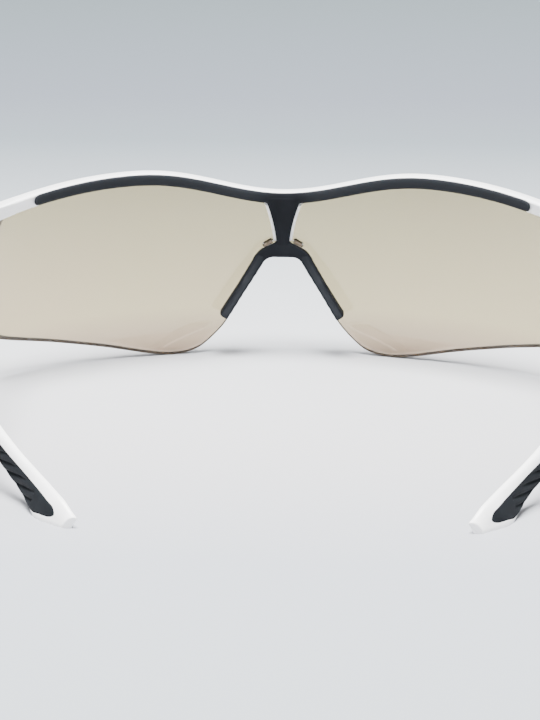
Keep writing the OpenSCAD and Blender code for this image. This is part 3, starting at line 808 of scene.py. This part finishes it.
# The hooks are the same white moulding, painted amber: painted shade, tinted by the lens, deep inside the
# slots.
hook_shade_mat = mottled("clip_hook_painted_shade", (0.26, 0.2, 0.145), (0.46, 0.37, 0.285), 1400, 0.5, 0.15)
clip.data.materials.append(hook_shade_mat)
for hook_face in clip.data.polygons[plate_faces:]:
    hook_face.material_index = 1
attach(clip, "front")
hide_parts("nose_clip")


# Nose bridge
# The soft black saddle that the two nose arms spring from, moulded over the clip and the metal core.
# Its neck meets the facing of the post.
bridge_front = 3.36
bridge_rear = 5.56
neck_z = 24.6
neck_h = 3.4
neck_slim = 0.36
outline = np.concatenate([saddle_line, (saddle_line * [-1, 1])[-2::-1]])
bridge = slab("bridge_flat", outline, bridge_front, bridge_rear)
bridge = finished("bridge_flat", melted(bridge, 0.12, 8), rubber_mat)


def slimmed(points):
    """Brings the back of the saddle's neck forwards to the facing of the post."""
    share = np.clip((points[:, 2] - neck_z) / neck_h, 0, 1)
    share = share * share * (3 - 2 * share)
    out = points.copy()
    out[:, 1] = bridge_front + (points[:, 1] - bridge_front) * (1 - neck_slim * share)
    return out


moved(bridge.data, slimmed)
bridge = finished("nose_saddle", wrapped(bridge, rubber_mat), rubber_mat)
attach(bridge, "front")
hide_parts("nose_bridge")


# Nose arms
# Two soft black blades over a bendable core, one on each side of the nose. Each is deeper towards
# its blunt end, lightly scalloped on the nose side, and has a shallow recess along its rear edge.
bend_z = 23.8
arm_len = 16.4
arm_angle = math.radians(32)
arm_blunt = 0.5
arm_recess = 0.25
scallop_h = 0.035
scallop_pitch = 2.1
painted_highlight_half = 0.66
arm_front = sphere_y - math.sqrt((wrap_r - clip_rear) ** 2 - bend_x ** 2 - (bend_z - wrap_z) ** 2) + 0.3


def arm_place(side, across, depth, down):
    """A point of a nose arm: across its thickness, back from its front edge, and down its length."""
    x = bend_x + across * math.cos(arm_angle) + down * math.sin(arm_angle)
    z = bend_z + across * math.sin(arm_angle) - down * math.cos(arm_angle)
    return side * x, arm_front + depth, z


for side, label in ((1, "left"), (-1, "right")):
    section = round_box(56, 4.5)
    blunt_from = arm_len - arm_blunt
    lengths = np.concatenate([np.linspace(-0.7, blunt_from, 110),
                              blunt_from + 0.48 * np.sin(np.linspace(0.1, 1.5, 12))])
    rings = []
    for down in lengths:
        share = down / arm_len
        half = np.interp(share, [-0.04, 0.05, 0.2, 0.5, 1], [1.05, 1.25, 1.22, 1.08, 1.13])
        reach = np.interp(share, [-0.04, 0.0, 0.14, 0.42, 0.75, 0.93, 1],
                          [1.9, 2.2, 2.8, 4.6, 5.5, 6.05, 6.05])
        beyond = max(down - blunt_from, 0) / arm_blunt
        swell = max(1 - beyond ** 4, 0.001) ** (1 / 4)
        across = half * swell * section[:, 0]
        depth = reach / 2 + (reach / 2 - 0.9 * (1 - swell)) * section[:, 1]
        rear = np.clip(section[:, 1] * 3 - 2, 0, 1)
        recess = np.interp(share, [0.4, 0.55, 0.8, 0.98], [0, arm_recess, arm_recess, 0])
        trough = np.clip(1.6 - np.abs(across / half - 0.18) / 0.35, 0, 1)
        depth = depth - recess * rear * trough
        wave = scallop_h * np.sin(2 * math.pi * down / scallop_pitch)
        scallop = wave * np.clip(-section[:, 0] * 2 - 0.8, 0, 1)
        across = across + scallop * np.interp(share, [0.1, 0.25, 0.9, 1], [0, 1, 1, 0])
        rings.append([arm_place(side, a, d, down) for a, d in zip(across, depth)])
    arm = finished("nose_arm_" + label, ring_skin("arm", rings), rubber_mat, 50)
    # A stripe down the middle of each arm's rear edge takes the pad's lighter rubber: a painted highlight
    # where that face catches the light.
    arm.data.materials.append(pad_mat)
    for arm_face in arm.data.polygons:
        out = side * arm_face.center.x / mm - bend_x
        up = arm_face.center.z / mm - bend_z
        across = out * math.cos(arm_angle) + up * math.sin(arm_angle)
        if arm_face.normal.y > 0.7 and abs(across) < painted_highlight_half:
            arm_face.material_index = 1
    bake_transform(arm)
    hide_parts("nose_pad_" + label)


# Bendable core
# A soft aluminium strip inside the bridge and the arms, in three stretches that meet at the two bends.
# The rubber is moulded over it, and it holds whatever shape it is bent to.
metal_mat, nodes, links, metal = new_material("drawn_aluminium")
metal.inputs["Metallic"].default_value = 1
metal.inputs["Base Color"].default_value = (0.72, 0.72, 0.74, 1)
drifting_roughness(nodes, links, metal, object_noise(nodes, links, 900), 0.28, 0.42)


def give_metal(*names):
    """Gives solids that stay as the CAD made them their metal."""
    for name in names:
        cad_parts[name].data.materials.clear()
        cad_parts[name].data.materials.append(metal_mat)


give_metal("nose_core_bridge", "nose_core_left", "nose_core_right")


# Hinge screws
# Turned screws with slotted heads, one at each side, which hold a temple's knuckle between the two ears.
# Their heads are sunk into the top ears, and their metal looks like the core's.
give_metal("hinge_screw_left", "hinge_screw_right")


# Temples
# White moulded arms that taper from the hinge, bend inwards behind the ears and end in a flat foot.
# A knuckle at the front turns on the screw between the ears of the lug. A thin web carries the soft grip.
hinge_y = -34.301
hinge_z = 37.2
run = half_d - hinge_y
root_x = 68.1
bend_gap = 124.6
tip_gap = 79.4
bend_at = 0.66
lug_h = 9.4
foot_h = 2.4
grip_from = 0.44
grip_to = 0.974
grip_round = 0.014
spine_h = 1.25
web_half = 0.55
grip_floor = 1


def eased(share, keys):
    """A value that passes smoothly from one key to the next along the temple."""
    for (a, low_value), (b, high_value) in zip(keys, keys[1:]):
        if share <= b or b == keys[-1][0]:
            t = min(max((share - a) / (b - a), 0), 1)
            return low_value + (high_value - low_value) * t * t * (3 - 2 * t)


def bent(share):
    """How far the inward bend has gone: nearly nothing before it, then in step with the share."""
    return (share - bend_at) / 2 + math.sqrt(((share - bend_at) / 2) ** 2 + 0.03 ** 2)


def ridge(share):
    """How far the temple's inner side lies from the middle of the glasses."""
    lean = (root_x - bend_gap / 2) / bend_at
    rest = root_x - lean - tip_gap / 2
    return root_x - lean * share - rest * (bent(share) - bent(0)) / (bent(1) - bent(0))


def temple_size(share):
    """Top, bottom, width and outward lean of the temple at a share of its length."""
    top = foot_h + (hinge_z + lug_h / 2 - foot_h) * (1 - share) - 0.25 * math.sin(math.pi * share)
    top += eased(share, [(0, 0), (0.78, 0), (0.955, 0.9), (1, 0)])
    tall = eased(share, [(0, lug_h), (0.24, 6.2), (0.46, 4.9), (0.66, 4.5), (0.88, 6.2), (1, 6.2)])
    wide = eased(share, [(0, 3.2), (0.46, 2.8), (0.94, 3.0), (1, 2.24)])
    lean = eased(share, [(0, 0), (0.82, 0.2), (0.95, 2.6), (1, 1.56)])
    return top, max(0, top - tall), wide, lean


def temple_point(share, across, up):
    """A point of the left temple: at a share of its length, across its width and up its height."""
    top, low, wide, lean = temple_size(share)
    return ridge(share) + across + lean * (1 - up / (top - low)), hinge_y + run * share, low + up


def along_temple(name, shares, outline):
    """A closed form along the left temple. outline gives its points at a share of the length."""
    return ring_skin(name, [[temple_point(f, a, b) for a, b in outline(f)] for f in shares])


def blade_outline(share):
    """The temple's own outline, with a rounded outer shoulder and a flat underside."""
    top, low, wide, lean = temple_size(share)
    unit = round_box(36, 4.5)
    unit[:, 1] = np.where(unit[:, 1] < 0, round_box(36, 12)[:, 1], unit[:, 1])
    shoulder = (unit[:, 0] > 0) & (unit[:, 1] > 0)
    unit[shoulder] = round_box(36, 2)[shoulder]
    return np.stack([wide / 2 * (1 + unit[:, 0]), (top - low) / 2 * (1 + unit[:, 1])], 1)


def grip_room(share):
    """What the grip fills, seen from the side: below the spine, with a round end above the foot."""
    top, low, wide, lean = temple_size(share)
    ceiling = top - low - spine_h
    near_end = max(share - (grip_to - grip_round), 0) / grip_round
    near_start = max(grip_from + grip_round - share, 0) / grip_round
    rounded = math.sqrt(max(1 - max(near_end, near_start) ** 2, 0.0004))
    floor = eased(share, [(0, -1), (0.838, -1), (0.955, 1.15), (1, 1.15)])
    if near_start > 0:
        floor = 0
    middle = (floor + ceiling) / 2
    half = (ceiling - floor) / 2 * rounded
    inner = -1.5
    outer = wide + 1.5
    return [(inner, middle + half), (outer, middle + half), (outer, middle - half), (inner, middle - half)]


def web_room(share):
    """The thin web in the middle of the temple's width, which the grip leaves free."""
    top, low, wide, lean = temple_size(share)
    inner = wide / 2 - web_half
    outer = wide / 2 + web_half
    return [(inner, top), (outer, top), (outer, grip_floor), (inner, grip_floor)]


def mirrored(name, source):
    """The same piece for the other side, with its faces turned to point outwards."""
    mesh = source.data.copy()
    mesh.transform(Matrix.Scale(-1, 4, (1, 0, 0)))
    mesh.flip_normals()
    return add_object(name, mesh)


def joined_by(operation, name, source, other, material):
    """Cuts a form by another, or keeps what both share."""
    cut = source.modifiers.new("shape", "BOOLEAN")
    cut.operation = operation
    cut.object = other
    cut.solver = "EXACT"
    return finished(name, source, material)


tip_round = 0.015
blade_shares = np.concatenate([np.linspace(0.1, 1 - tip_round, 150),
                               1 - tip_round + tip_round * np.sin(np.linspace(0.1, 1.57, 8))])
blade = along_temple("blade", blade_shares, blade_outline)
knuckle = cad_part("temple_arm_left", (0, hinge_y + run * 0.13, 0), (0, -1, 0))
temple = together("temple_form", [blade, knuckle])
temple = finished("temple_form", melted(temple, 0.24, 5), white_mat)


def seated(points):
    """Lays the underside of the foot flat on the ground again after the melting has rounded it."""
    out = points.copy()
    at_foot = points[:, 1] > hinge_y + run * 0.91
    out[:, 2] = np.where(at_foot & (points[:, 2] < 0.4), 0, points[:, 2])
    return out


moved(temple.data, seated)
ends = np.sin(np.linspace(0.02, math.pi / 2, 9))
room_shares = np.concatenate([grip_from + grip_round * (1 - ends[::-1]),
                              np.linspace(grip_from + grip_round, grip_to - grip_round, 120)[1:-1],
                              grip_to - grip_round * (1 - ends)])
room = along_temple("grip_room", room_shares, grip_room)
web = along_temple("web_room", np.linspace(grip_from - 0.03, grip_to + 0.03, 90), web_room)
room = joined_by("DIFFERENCE", "grip_room", room, web, white_mat)
grip = add_object("grip_form", temple.data.copy())
temple = joined_by("DIFFERENCE", "temple_left", temple, room, white_mat)
for piece, label in ((temple, "left"), (mirrored("temple_right", temple), "right")):
    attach(piece, "temple_" + label)
    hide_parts("temple_arm_" + label)


# Temple grips
# Soft black rubber moulded round the web of each temple end. Nearly level grooves run back from its
# lower edge, rising slightly, and fade out further up its outer face.
groove_pitch = 1.85
groove_rise = 0.083
groove_depth = 0.46
groove_width = 1.2
groove_reach = 5.3
groove_to = 0.905


def groove_tree():
    """Geometry nodes that press a stack of nearly level grooves into the outer face of a skin."""
    tree, given = new_tree("level_grooves", ("Pitch", "Rise", "Groove depth", "Groove width", "Reach"))

    def faded(value, start, end):
        """Rises smoothly from nothing to one between two values."""
        node = tree.nodes.new("ShaderNodeMapRange")
        node.interpolation_type = "SMOOTHSTEP"
        for label, source in (("Value", value), ("From Min", start), ("From Max", end)):
            fill(tree, node.inputs[label], source)
        return node.outputs[0]

    place = parted(tree, tree.nodes.new("GeometryNodeInputPosition").outputs[0])
    outward = tree.nodes.new("GeometryNodeInputNormal").outputs[0]
    edge_height = tree.nodes.new("GeometryNodeInputNamedAttribute")
    edge_height.inputs["Name"].default_value = "above_edge"
    above_edge = edge_height.outputs["Attribute"]
    tilt = calculated(tree, "MULTIPLY", place["Y"], given["Rise"])
    tilted = calculated(tree, "SUBTRACT", place["Z"], tilt)
    step = calculated(tree, "FRACT", calculated(tree, "DIVIDE", tilted, given["Pitch"]))
    off_middle = calculated(tree, "ABSOLUTE", calculated(tree, "SUBTRACT", step, 0.5))
    off_line = calculated(tree, "MULTIPLY", off_middle, given["Pitch"])
    half_width = calculated(tree, "MULTIPLY", given["Groove width"], 0.5)
    in_groove = calculated(tree, "SUBTRACT", 1, faded(off_line, 0, half_width))
    fade_from = calculated(tree, "MULTIPLY", given["Reach"], 0.55)
    below_top = calculated(tree, "SUBTRACT", 1, faded(above_edge, fade_from, given["Reach"]))
    off_edge = faded(above_edge, 0, 0.8 * mm)
    faces_out = faded(parted(tree, outward)["X"], 0.3, 0.7)
    on_face = calculated(tree, "MULTIPLY", off_edge, faces_out)
    pressed = calculated(tree, "MULTIPLY", in_groove, calculated(tree, "MULTIPLY", below_top, on_face))
    deepest = calculated(tree, "MULTIPLY", given["Groove depth"], -1)
    inward = tree.nodes.new("ShaderNodeVectorMath")
    inward.operation = "SCALE"
    tree.links.new(outward, inward.inputs[0])
    tree.links.new(calculated(tree, "MULTIPLY", pressed, deepest), inward.inputs["Scale"])
    return end_tree(tree, given, "Offset", inward.outputs[0])


grip = joined_by("INTERSECT", "grip_form", grip, room, rubber_mat)
bpy.data.objects.remove(room)
bpy.data.objects.remove(web)
grip_dark = (0.0102, 0.0116, 0.0135)
grip_light = (0.0136, 0.0154, 0.018)
grip_mat = soft_rubber("ribbed_grip_rubber", grip_dark, grip_light)
grip = finished("grip_form", melted(grip, 0.17, 3), grip_mat)
above_edge = grip.data.attributes.new("above_edge", "FLOAT", "POINT")
for point, height in zip(grip.data.vertices, above_edge.data):
    share = (point.co.y / mm - hinge_y) / run
    height.value = point.co.z - temple_size(share)[1] * mm if share < groove_to else 1
row = grip.modifiers.new("grooves", "NODES")
row.node_group = groove_tree()
set_input(row, "Pitch", groove_pitch * mm)
set_input(row, "Rise", groove_rise)
set_input(row, "Groove depth", groove_depth * mm)
set_input(row, "Groove width", groove_width * mm)
set_input(row, "Reach", groove_reach * mm)
set_input(row, "Finish", grip_mat)
grip = finished("grip_left", grip, grip_mat)
for piece, label in ((grip, "left"), (mirrored("grip_right", grip), "right")):
    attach(piece, "temple_" + label)
    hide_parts("temple_grip_" + label)
